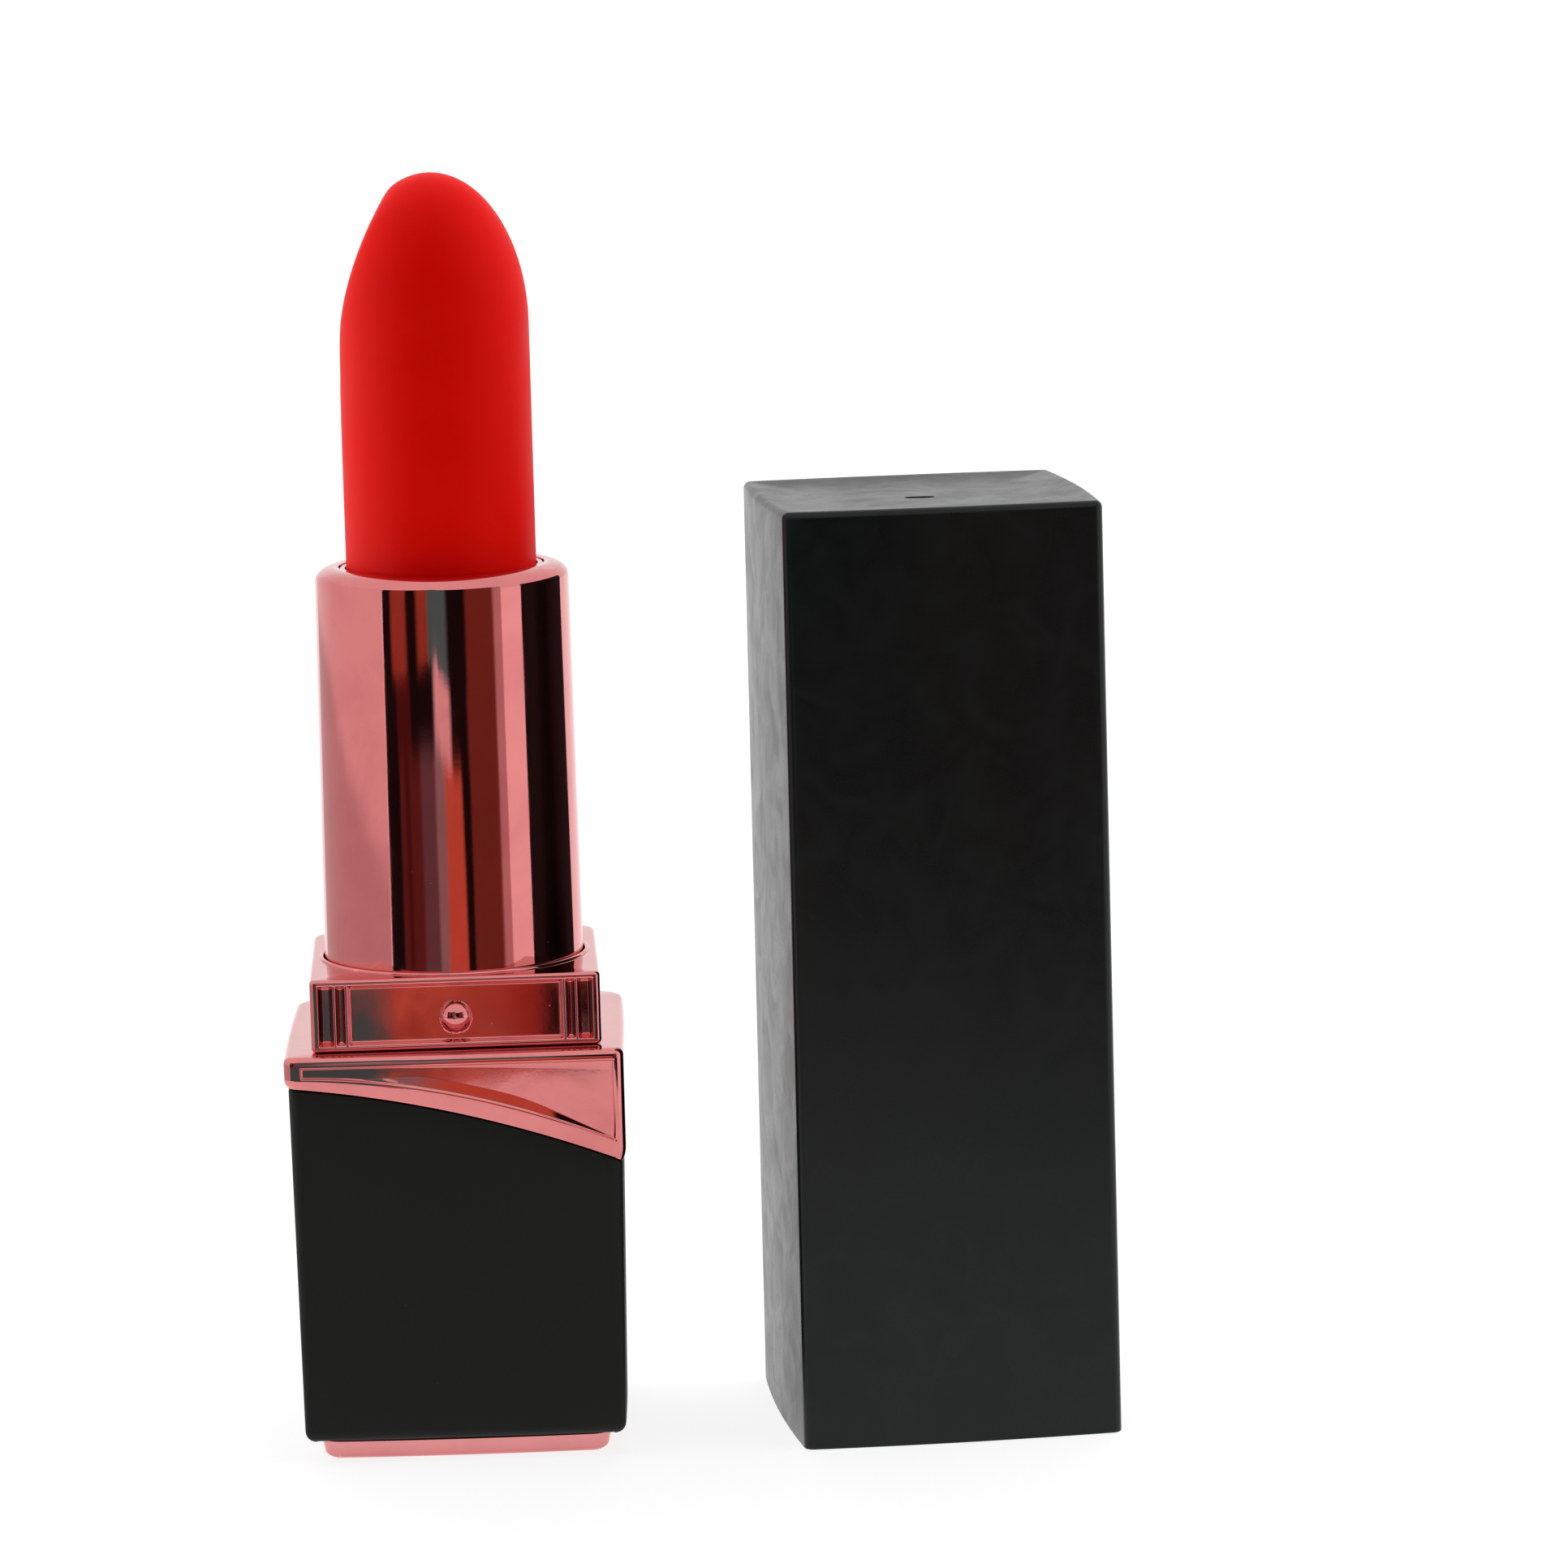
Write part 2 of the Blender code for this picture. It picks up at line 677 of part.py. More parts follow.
def cap_liner(look, parent):
    """The inner sleeve of the cap, with a round window front and back where the collar's pips snap in."""
    def ring(width, height):
        return at_height(square_loop(width, 0, LINER_CORNER), height)

    outside = CAP_INSIDE - 2 * GLUE
    inside = outside - 2 * LINER_WALL
    rings = [
        ring(outside, LINER_BOTTOM),
        ring(outside, LINER_TOP),
        ring(inside, LINER_TOP),
        ring(inside, LINER_BOTTOM),
    ]
    made = piece("cap_liner", loft(rings), look, parent)
    combine(made, "window_cutter", pip_window(), "DIFFERENCE")
    return made


def pip_window():
    """A round bar right through the liner, at the height of the pips when the cap is on."""
    height = PIP_HEIGHT - SHOULDER_TOP
    outline = rounding(0, height, PIP_RADIUS + GLUE, 0, 342, 19)
    return prism(outline, 2 * CAP_WIDTH)


def build():
    for old in list(bpy.data.objects):
        bpy.data.objects.remove(old)

    rose_chrome = finish("rose_chrome", 0.78, 0.30, 0.29, 0.10, 1.0)
    soft_black = finish("soft_black", 0.012, 0.013, 0.012, 0.55, 0.0)
    satin_black = finish("satin_black", 0.010, 0.011, 0.011, 0.34, 0.0)
    red_stick = finish("red_stick", 0.60, 0.010, 0.004, 0.45, 0.0)
    white_plastic = finish("white_plastic", 0.75, 0.75, 0.72, 0.40, 0.0)
    black_plastic = finish("black_plastic", 0.03, 0.03, 0.03, 0.40, 0.0)
    steel = finish("steel", 0.55, 0.55, 0.56, 0.30, 1.0)
    silicone = finish("silicone", 0.60, 0.60, 0.58, 0.60, 0.0)

    base = joint_empty("base")
    base_foot(rose_chrome, base)
    base_shell(soft_black, base)
    shoulder_trim(rose_chrome, base)
    base_core(black_plastic, base)
    base_weight(steel, base)
    slotted_tube(white_plastic, base)

    twist = joint_empty("tube_twist")
    collar(rose_chrome, joint_empty("collar_place", turn=COLLAR_TURN))
    outer_tube(rose_chrome, twist)
    spiral_sleeve(white_plastic, twist)
    friction_ring(silicone, twist)

    rise = joint_empty("bullet_rise")
    carrier_cup(rose_chrome, rise)
    lipstick_bullet(red_stick, rise)

    lift = joint_empty("cap_lift", CAP_PLACE, CAP_TURN)
    cap_shell(satin_black, lift)
    cap_liner(black_plastic, lift)


build()
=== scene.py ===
from math import atan, cos, pi, radians, sin, sqrt

import bpy
import numpy as np
from mathutils import Matrix, Vector


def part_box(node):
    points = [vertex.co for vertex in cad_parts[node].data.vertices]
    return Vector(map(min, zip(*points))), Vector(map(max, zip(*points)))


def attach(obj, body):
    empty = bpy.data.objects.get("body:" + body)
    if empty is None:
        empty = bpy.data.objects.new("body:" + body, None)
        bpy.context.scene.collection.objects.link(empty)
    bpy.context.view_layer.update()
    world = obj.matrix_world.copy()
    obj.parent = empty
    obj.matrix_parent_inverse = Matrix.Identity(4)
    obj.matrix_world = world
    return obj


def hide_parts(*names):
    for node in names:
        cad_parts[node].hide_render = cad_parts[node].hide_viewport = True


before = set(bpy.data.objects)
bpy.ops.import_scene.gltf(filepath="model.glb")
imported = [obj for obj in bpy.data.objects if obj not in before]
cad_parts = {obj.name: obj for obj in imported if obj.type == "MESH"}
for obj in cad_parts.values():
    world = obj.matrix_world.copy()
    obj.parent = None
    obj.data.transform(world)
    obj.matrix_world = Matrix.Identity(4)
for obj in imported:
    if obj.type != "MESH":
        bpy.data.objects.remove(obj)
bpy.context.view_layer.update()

MM = 0.001

# Camera: a long lens a little above the case, turned and rolled slightly
CAMERA_PLACE = (0.010945, -0.3969, 0.097184)
CAMERA_HEADING = radians(1.265)
CAMERA_PITCH = radians(8.493)
CAMERA_ROLL = radians(1.50)
CAMERA_LENS = 156.58
SENSOR_WIDTH = 36.0


def make_camera():
    """The camera, from a place, a heading right of +Y, a pitch below the horizon and a roll."""
    level = cos(CAMERA_PITCH)
    forward = Vector((sin(CAMERA_HEADING) * level, cos(CAMERA_HEADING) * level, -sin(CAMERA_PITCH)))
    across = Vector((cos(CAMERA_HEADING), -sin(CAMERA_HEADING), 0))
    upward = across.cross(forward)
    right = across * cos(CAMERA_ROLL) - upward * sin(CAMERA_ROLL)
    up = across * sin(CAMERA_ROLL) + upward * cos(CAMERA_ROLL)
    data = bpy.data.cameras.new("camera")
    data.lens = CAMERA_LENS
    data.sensor_width = SENSOR_WIDTH
    data.clip_start = 0.01
    made = bpy.data.objects.new("camera", data)
    matrix = Matrix((right, up, -forward)).transposed().to_4x4()
    matrix.translation = CAMERA_PLACE
    made.matrix_world = matrix
    bpy.context.scene.collection.objects.link(made)
    bpy.context.scene.camera = made


make_camera()


# Material nodes


class Shade:
    """Adds nodes to one node tree, so that a material reads as a few lines."""

    def __init__(self, tree):
        self.tree = tree
        self.place = self.add("ShaderNodeTexCoord").outputs["Object"]

    def add(self, kind, **settings):
        node = self.tree.nodes.new(kind)
        for key, value in settings.items():
            setattr(node, key, value)
        return node

    def link(self, source, socket):
        if isinstance(source, bpy.types.NodeSocket):
            self.tree.links.new(source, socket)
        else:
            socket.default_value = source

    def stretched(self, scale):
        """The object's own coordinates, scaled along each axis."""
        node = self.add("ShaderNodeMapping")
        self.link(self.place, node.inputs["Vector"])
        node.inputs["Scale"].default_value = scale
        return node.outputs["Vector"]

    def noise(self, scale, detail=3.0, roughness=0.5, vector=None, warp=0.0):
        node = self.add("ShaderNodeTexNoise")
        self.link(vector or self.place, node.inputs["Vector"])
        node.inputs["Scale"].default_value = scale
        node.inputs["Detail"].default_value = detail
        node.inputs["Roughness"].default_value = roughness
        node.inputs["Distortion"].default_value = warp
        return node.outputs["Fac"]

    def math(self, operation, first, second=0.0, third=0.0):
        node = self.add("ShaderNodeMath", operation=operation)
        for socket, value in zip(node.inputs, (first, second, third)):
            self.link(value, socket)
        return node.outputs["Value"]

    def span(self, value, low, high, to_low=0.0, to_high=1.0, kind="SMOOTHSTEP"):
        node = self.add("ShaderNodeMapRange", interpolation_type=kind)
        limits = ("From Min", low), ("From Max", high), ("To Min", to_low), ("To Max", to_high)
        self.link(value, node.inputs["Value"])
        for key, limit in limits:
            node.inputs[key].default_value = limit
        return node.outputs["Result"]

    def mix(self, share, first, second):
        """A colour between two colours."""
        node = self.add("ShaderNodeMix", data_type="RGBA")
        self.link(share, node.inputs["Factor"])
        for key, colour in ((6, first), (7, second)):
            if not isinstance(colour, bpy.types.NodeSocket):
                colour = (*colour, 1.0)
            self.link(colour, node.inputs[key])
        return node.outputs[2]

    def specks(self, cell, radius, share, vector=None):
        """Small round specks: one at most in each cell, in this share of the cells."""
        node = self.add("ShaderNodeTexVoronoi")
        self.link(vector or self.place, node.inputs["Vector"])
        node.inputs["Scale"].default_value = 1 / cell
        near = self.span(node.outputs["Distance"], radius / cell, 0.6 * radius / cell)
        split = self.add("ShaderNodeSeparateColor")
        self.link(node.outputs["Color"], split.inputs["Color"])
        kept = self.math("LESS_THAN", split.outputs["Red"], share)
        return self.math("MULTIPLY", near, kept)

    def edge_wear_and_highlight(self, low=0.505, high=0.56):
        """One on sharp outward edges, nought on flat faces."""
        return self.span(self.add("ShaderNodeNewGeometry").outputs["Pointiness"], low, high)

    def bump(self, height, distance, under=None):
        node = self.add("ShaderNodeBump")
        self.link(height, node.inputs["Height"])
        node.inputs["Strength"].default_value = 1.0
        node.inputs["Distance"].default_value = distance
        if under:
            self.link(under, node.inputs["Normal"])
        return node.outputs["Normal"]


def new_material(name):
    """A material with a Principled shader, and the helper for its other nodes."""
    made = bpy.data.materials.new(name)
    made.use_nodes = True
    shader = made.node_tree.nodes["Principled BSDF"]
    return made, shader, Shade(made.node_tree)


def rose_chrome():
    """Vacuum-metallised plastic: a pink mirror with faint mould waves, smudges and a painted highlight
    on sharp edges.
    """
    made, shader, s = new_material("rose_chrome")
    smudge = s.noise(260, 4.0, 0.6, warp=0.6)
    tint = s.mix(s.span(smudge, 0.35, 0.75), (0.70, 0.222, 0.222), (0.64, 0.192, 0.195))
    # Sharp edges are mixed towards a lighter pink: a painted highlight.
    colour = s.mix(s.math("MULTIPLY", s.edge_wear_and_highlight(), 0.35), tint, (0.86, 0.42, 0.41))
    s.link(colour, shader.inputs["Base Color"])
    shader.inputs["Metallic"].default_value = 1.0
    haze = s.math("MULTIPLY", s.specks(0.0011, 0.00006, 0.12), 0.25)
    rough = s.math("ADD", s.span(smudge, 0.3, 0.8, 0.035, 0.085), haze)
    s.link(rough, shader.inputs["Roughness"])
    waves = s.bump(s.noise(240, 2.0, 0.4), 0.0000055)
    grain = s.bump(s.noise(4200, 2.0, 0.6), 0.00000035, waves)
    s.link(grain, shader.inputs["Normal"])
    return made


def soft_black():
    """Soft-touch lacquer: very dark, with a fine dry grain, faint rubbed patches and a few specks."""
    made, shader, s = new_material("soft_black")
    patch = s.noise(170, 4.0, 0.6, warp=0.4)
    dark = s.mix(s.span(patch, 0.3, 0.75), (0.0068, 0.0080, 0.0068), (0.0090, 0.0102, 0.0088))
    dust = s.specks(0.0017, 0.00008, 0.10)
    colour = s.mix(s.math("MULTIPLY", dust, 0.5), dark, (0.10, 0.10, 0.095))
    s.link(colour, shader.inputs["Base Color"])
    rubbed = s.math("MULTIPLY", s.edge_wear_and_highlight(), -0.10)
    rough = s.math("ADD", s.span(patch, 0.25, 0.8, 0.50, 0.60), rubbed)
    s.link(rough, shader.inputs["Roughness"])
    shader.inputs["Specular IOR Level"].default_value = 0.16
    grain = s.bump(s.noise(9000, 3.0, 0.7), 0.0000016)
    s.link(s.bump(dust, 0.000012, grain), shader.inputs["Normal"])
    return made


def satin_black():
    """Moulded cap plastic: satin, with faint flow marks, fine scratches and sparse dust."""
    made, shader, s = new_material("satin_black")
    flow = s.noise(60, 3.0, 0.55, s.stretched((1.0, 1.0, 0.35)), 0.5)
    dark = s.mix(s.span(flow, 0.3, 0.7), (0.0028, 0.0056, 0.0060), (0.0042, 0.0070, 0.0068))
    dust = s.specks(0.0042, 0.00013, 0.16)
    lint = s.specks(0.0060, 0.00016, 0.14, s.stretched((1.0, 1.0, 0.55)))
    flecks = s.math("MAXIMUM", dust, lint)
    colour = s.mix(s.math("MULTIPLY", flecks, 0.6), dark, (0.12, 0.12, 0.115))
    s.link(colour, shader.inputs["Base Color"])
    smudge = s.noise(330, 5.0, 0.65, warp=0.8)
    s.link(s.span(smudge, 0.3, 0.75, 0.26, 0.36), shader.inputs["Roughness"])
    shader.inputs["Specular IOR Level"].default_value = 0.26
    grain = s.bump(s.noise(5200, 2.0, 0.6), 0.0000006)
    scratch = s.noise(1500, 2.0, 0.5, s.stretched((1.0, 1.0, 0.06)))
    scored = s.bump(s.span(scratch, 0.68, 0.74), 0.0000012, grain)
    s.link(s.bump(flecks, 0.000025, scored), shader.inputs["Normal"])
    return made


def red_stick():
    """The stick: satin red wax, a little translucent, with soft blooms and faint upright drag lines."""
    made, shader, s = new_material("red_stick")
    bloom = s.noise(230, 4.0, 0.55, warp=0.5)
    colour = s.mix(s.span(bloom, 0.3, 0.75), (0.890, 0.0034, 0.0010), (0.930, 0.0046, 0.0016))
    s.link(colour, shader.inputs["Base Color"])
    s.link(s.span(bloom, 0.3, 0.7, 0.46, 0.56), shader.inputs["Roughness"])
    shader.inputs["Specular IOR Level"].default_value = 0.05
    shader.inputs["Subsurface Weight"].default_value = 0.25
    shader.inputs["Subsurface Radius"].default_value = (1.0, 0.12, 0.06)
    shader.inputs["Subsurface Scale"].default_value = 0.0009
    drag = s.bump(s.noise(900, 2.0, 0.5, s.stretched((1.0, 1.0, 0.05))), 0.0000045)
    s.link(s.bump(s.noise(3800, 3.0, 0.6), 0.0000013, drag), shader.inputs["Normal"])
    return made


def plain_plastic(name, light, dark, rough, scale):
    """An unseen moulding: two close shades, a fine grain and uneven gloss."""
    made, shader, s = new_material(name)
    cloud = s.noise(scale, 4.0, 0.6)
    s.link(s.mix(s.span(cloud, 0.3, 0.7), dark, light), shader.inputs["Base Color"])
    s.link(s.span(cloud, 0.3, 0.7, rough - 0.05, rough + 0.06), shader.inputs["Roughness"])
    s.link(s.bump(s.noise(20 * scale, 2.0, 0.6), 0.000002), shader.inputs["Normal"])
    return made


def turned_steel():
    """Bright steel with fine lathe rings."""
    made, shader, s = new_material("turned_steel")
    cloud = s.noise(300, 4.0, 0.6)
    s.link(s.mix(cloud, (0.50, 0.50, 0.51), (0.60, 0.60, 0.61)), shader.inputs["Base Color"])
    shader.inputs["Metallic"].default_value = 1.0
    s.link(s.span(cloud, 0.3, 0.7, 0.24, 0.36), shader.inputs["Roughness"])
    rings = s.noise(1800, 2.0, 0.5, s.stretched((0.05, 0.05, 1.0)))
    s.link(s.bump(rings, 0.000003), shader.inputs["Normal"])
    return made


ROSE = rose_chrome()
SOFT = soft_black()
SATIN = satin_black()
RED = red_stick()
WHITE = plain_plastic("white_plastic", (0.76, 0.76, 0.73), (0.68, 0.68, 0.65), 0.40, 240)
BLACK = plain_plastic("black_plastic", (0.034, 0.034, 0.034), (0.024, 0.024, 0.024), 0.42, 240)
SILICONE = plain_plastic("silicone", (0.62, 0.62, 0.60), (0.54, 0.54, 0.52), 0.60, 400)
STEEL = turned_steel()


# Fine meshes: squares and circles of columns, with rows of heights between them

ARC_STEPS = 14
ARC_STEP = 0.04 * MM
REACH_ROUNDS = 8
ROUND_COLUMNS = 256
SHARP = radians(40)


def stations(low, high, marks=(), coarse=0.35 * MM, near=0.2 * MM, fine=0.03 * MM):
    """Places along a side between low and high, with close steps round each mark."""
    steps = list(np.linspace(low, high, round((high - low) / coarse) + 1))
    steps = [v for v in steps if all(abs(v - mark) > near for mark in marks)]
    for mark in marks:
        steps += list(mark + np.arange(-near, near + fine / 2, fine))
    return [low] + sorted({round(v, 7) for v in steps if low + fine < v < high - fine}) + [high]


def corner_reach(half, bow, corner):
    """Where a bowed side ends and its corner's arc begins, and how far the side leans there."""
    reach = half - corner
    for _ in range(REACH_ROUNDS):
        lean = atan(2 * bow * reach)
        reach = half - bow * reach * reach - corner * (cos(lean) - sin(lean))
    return reach, lean


class Square:
    """Columns round a square with bowed sides and round corners, anticlockwise from the +X side.

    Each column has its place, its outward direction, its side (0 is +X) and its place along the side.
    """

    def __init__(self, width, bulge, corner, back=None, marks=(), coarse=0.35 * MM):
        self.half = width / 2
        bow = bulge / self.half ** 2
        front_end = (*corner_reach(self.half, bow, corner), corner)
        back_end = (*corner_reach(self.half, bow, back), back) if back else front_end
        table = []
        for turn in range(4):
            start = (front_end, back_end, back_end, front_end)[turn][0]
            reach, lean, radius = (back_end, back_end, front_end, front_end)[turn]
            side = []
            for along in stations(-start, reach, marks, coarse):
                normal = Vector((1, 2 * bow * along)).normalized()
                side.append((self.half - bow * along * along, along, *normal))
            centre = reach - radius * sin(lean)
            steps = max(ARC_STEPS, round(radius / ARC_STEP))
            for step in range(1, steps):
                angle = lean + (pi / 2 - 2 * lean) * step / steps
                c, s = cos(angle), sin(angle)
                side.append((centre + radius * c, centre + radius * s, c, s))
            c, s = ((1, 0), (0, 1), (-1, 0), (0, -1))[turn]
            for x, y, out_x, out_y in side:
                spot = (x * c - y * s, x * s + y * c, out_x * c - out_y * s, out_x * s + out_y * c)
                table.append((*spot, -x, (turn + 1) % 4) if y > x else (*spot, y, turn))
        table = np.array(table)
        self.place, self.out = table[:, 0:2], table[:, 2:4]
        self.along, self.side = table[:, 4], table[:, 5]

    def row(self, inset, height):
        """Points set in from the outline by an amount, or by one for each column."""
        inset = np.broadcast_to(inset, self.along.shape)[:, None]
        height = np.broadcast_to(height, self.along.shape)
        return np.column_stack([self.place - self.out * inset, height])

    def circle(self, radius, height):
        """The same columns brought onto a circle."""
        flat = self.place / np.linalg.norm(self.place, axis=1)[:, None] * radius
        return np.column_stack([flat, np.broadcast_to(height, self.along.shape)])

    def resized(self, width, corner, height):
        """The same columns on a plain square of another width."""
        other = Square(width, 0, corner)
        angles = np.arctan2(self.place[:, 1], self.place[:, 0])
        known = np.arctan2(other.place[:, 1], other.place[:, 0])
        order = np.argsort(known)
        known = np.concatenate([known[order] - 2 * pi, known[order], known[order] + 2 * pi])
        flat = [np.interp(angles, known, np.tile(other.place[order, axis], 3)) for axis in (0, 1)]
        return np.column_stack([*flat, np.broadcast_to(height, self.along.shape)])


def turned_rows(profile, columns=ROUND_COLUMNS):
    """Rows of a solid of revolution from (radius, height) points."""
    angle = np.arange(columns) * 2 * pi / columns
    ring = np.column_stack([np.cos(angle), np.sin(angle)])
    return [np.column_stack([ring * radius, np.full(columns, height)]) for radius, height in profile]


def arc(centre_r, centre_z, radius, start, end, steps):
    """Points of an arc in (radius, height), with its angles in degrees from +radius."""
    angles = [radians(start + (end - start) * step / steps) for step in range(steps + 1)]
    return [(centre_r + radius * cos(a), centre_z + radius * sin(a)) for a in angles]


def skin(rows, closed=True):
    """A mesh over rows of points. Closed joins the last row to the first; otherwise both are capped."""
    points = np.concatenate(rows)
    count, across = len(rows), len(rows[0])
    faces = []
    for low in range(count if closed else count - 1):
        high = (low + 1) % count
        for i in range(across):
            j = (i + 1) % across
            faces.append((low * across + i, low * across + j, high * across + j, high * across + i))
    if not closed:
        faces.append(tuple(range(across - 1, -1, -1)))
        faces.append(tuple((count - 1) * across + i for i in range(across)))
    mesh = bpy.data.meshes.new("skin")
    mesh.from_pydata(points.tolist(), [], faces)
    mesh.update()
    return mesh


def combined(mesh, other, operation):
    """One mesh cut from another or joined to it."""
    target = bpy.data.objects.new("target", mesh)
    helper = bpy.data.objects.new("helper", other)
    for thing in (target, helper):
        bpy.context.scene.collection.objects.link(thing)
    step = target.modifiers.new("cut", "BOOLEAN")
    step.operation, step.solver, step.object = operation, "EXACT", helper
    graph = bpy.context.evaluated_depsgraph_get()
    result = bpy.data.meshes.new_from_object(target.evaluated_get(graph))
    bpy.data.objects.remove(target)
    bpy.data.objects.remove(helper)
    return result


def moved(mesh, matrix):
    mesh.transform(matrix)
    return mesh


def piece(name, mesh, look, body, slot, *nodes):
    """A finished piece that rides on a body and stands for CAD nodes."""
    mesh.name = name
    mesh.materials.clear()
    mesh.materials.append(look)
    mesh.shade_smooth()
    mesh.set_sharp_from_angle(angle=SHARP)
    made = bpy.data.objects.new(name, mesh)
    bpy.context.scene.collection.objects.link(made)
    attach(made, body)
    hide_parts(*nodes)
    return made


def smooth_step(value, low, high):
    """Nought below low, one above high, and a smooth rise between them."""
    share = np.clip((value - low) / (high - low), 0, 1)
    return share * share * (3 - 2 * share)


# The joint line between shoulder and shell falls from left to right across the front
SEAM_HEIGHT = 0.02075
SEAM_SLOPE = -0.248
SEAM_BEND = -8.0


def seam_height(x):
    return SEAM_HEIGHT + SEAM_SLOPE * x + SEAM_BEND * x * x


# Base: foot, shell and shoulder

BODY_BULGE = 0.12 * MM
BODY_CORNER = 0.7 * MM
BACK_CORNER = 2.0 * MM
FOOT_BULGE = 0.28 * MM
FOOT_CORNER = 1.2 * MM
SPIGOT_WIDTH = 14.8 * MM
SHELL_INSIDE = 17.1 * MM
SHELL_EDGE = 0.65 * MM
SHELL_TAPER = 0.25 * MM
SHELL_FLOOR = 1.2 * MM
TOP_EDGE = 0.14 * MM
SEAM_GAP = 0.1 * MM
INNER_CORNER = 0.6 * MM
SPIGOT_HOLE = SPIGOT_WIDTH + 0.2 * MM
FOOT_ROUND = 0.75 * MM
FOOT_ROUND_RISE = 0.6 * MM
FOOT_DRAFT = 0.12 * MM
FOOT_LIP = 0.06 * MM


def build_foot():
    """The plate under the base, rounded below, with a small lip where it meets the shell."""
    low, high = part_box("base_foot")
    shell_low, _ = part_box("base_shell")
    top = shell_low.z - SEAM_GAP
    square = Square(high.x - low.x, FOOT_BULGE, FOOT_CORNER)
    rows = []
    for out, rise in arc(0, 0, 1, -90, -20, 7):
        inset = (1 - out) * FOOT_ROUND + FOOT_DRAFT
        rows.append(square.row(inset, low.z + (1 + rise) * FOOT_ROUND_RISE))
    rows.append(square.row(0.5 * FOOT_LIP, top - FOOT_LIP))
    rows.append(square.row(1.5 * FOOT_LIP, top))
    rows.append(square.resized(SPIGOT_WIDTH, FOOT_CORNER, top))
    rows.append(square.resized(SPIGOT_WIDTH, FOOT_CORNER, high.z))
    piece("foot_plate", skin(rows, closed=False), ROSE, "base", "rose_metal", "base_foot")


def build_shell():
    """The black outer base: a sleeve with a rounded foot and an upper edge along the joint line."""
    low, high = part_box("base_shell")
    wide = Square(high.x - low.x, BODY_BULGE, BODY_CORNER, BACK_CORNER)
    top = seam_height(wide.place[:, 0]) - SEAM_GAP
    rows = []
    for out, rise in arc(0, 0, SHELL_EDGE, -90, 0, 10):
        rows.append(wide.row(SHELL_TAPER + SHELL_EDGE - out, low.z + SHELL_EDGE + rise))
    start = low.z + SHELL_EDGE
    for share in np.linspace(0, 1, 14)[1:]:
        rows.append(wide.row(SHELL_TAPER * (1 - share), start + (top - TOP_EDGE - start) * share))
    for out, rise in arc(0, 0, TOP_EDGE, 20, 90, 4):
        rows.append(wide.row(TOP_EDGE - out, top - TOP_EDGE + rise))
    floor = low.z + SHELL_FLOOR
    inside = (SHELL_INSIDE, top), (SHELL_INSIDE, floor), (SPIGOT_HOLE, floor), (SPIGOT_HOLE, low.z)
    rows += [wide.resized(width, INNER_CORNER, height) for width, height in inside]
    piece("outer_base", skin(rows), SOFT, "base", "soft_black", "base_shell")


PANEL_STEP = 0.10 * MM
PANEL_LEAN = 0.05 * MM
PANEL_LEFT = -8.8 * MM
PANEL_RIGHT = 9.2 * MM
PANEL_DROP = 0.65 * MM
PANEL_SOFT = 0.12 * MM
PANEL_RAMP = 0.66 * MM
PANEL_LEAST = 0.25 * MM
RAMP_LEFT = (-5.5 * MM, -1.5 * MM)
RAMP_RIGHT = (9.2 * MM, 3.0 * MM)
SHOULDER_EDGE = 0.42 * MM
SHOULDER_HOLE = 7.85 * MM
SHOULDER_PLATE = 1.2 * MM
HOLE_EDGE = 0.1 * MM
PLUG_OUTSIDE = 16.9 * MM
PLUG_INSIDE = 15.8 * MM
SEAM_TUCK = 0.20 * MM
FRONT, BACK = 3, 1


def panel_floor(x):
    """Lower edge of the sunk panel, over a band that is narrowest at the left."""
    return seam_height(x) + 0.00113 + 0.024 * x - 3.5 * x * x


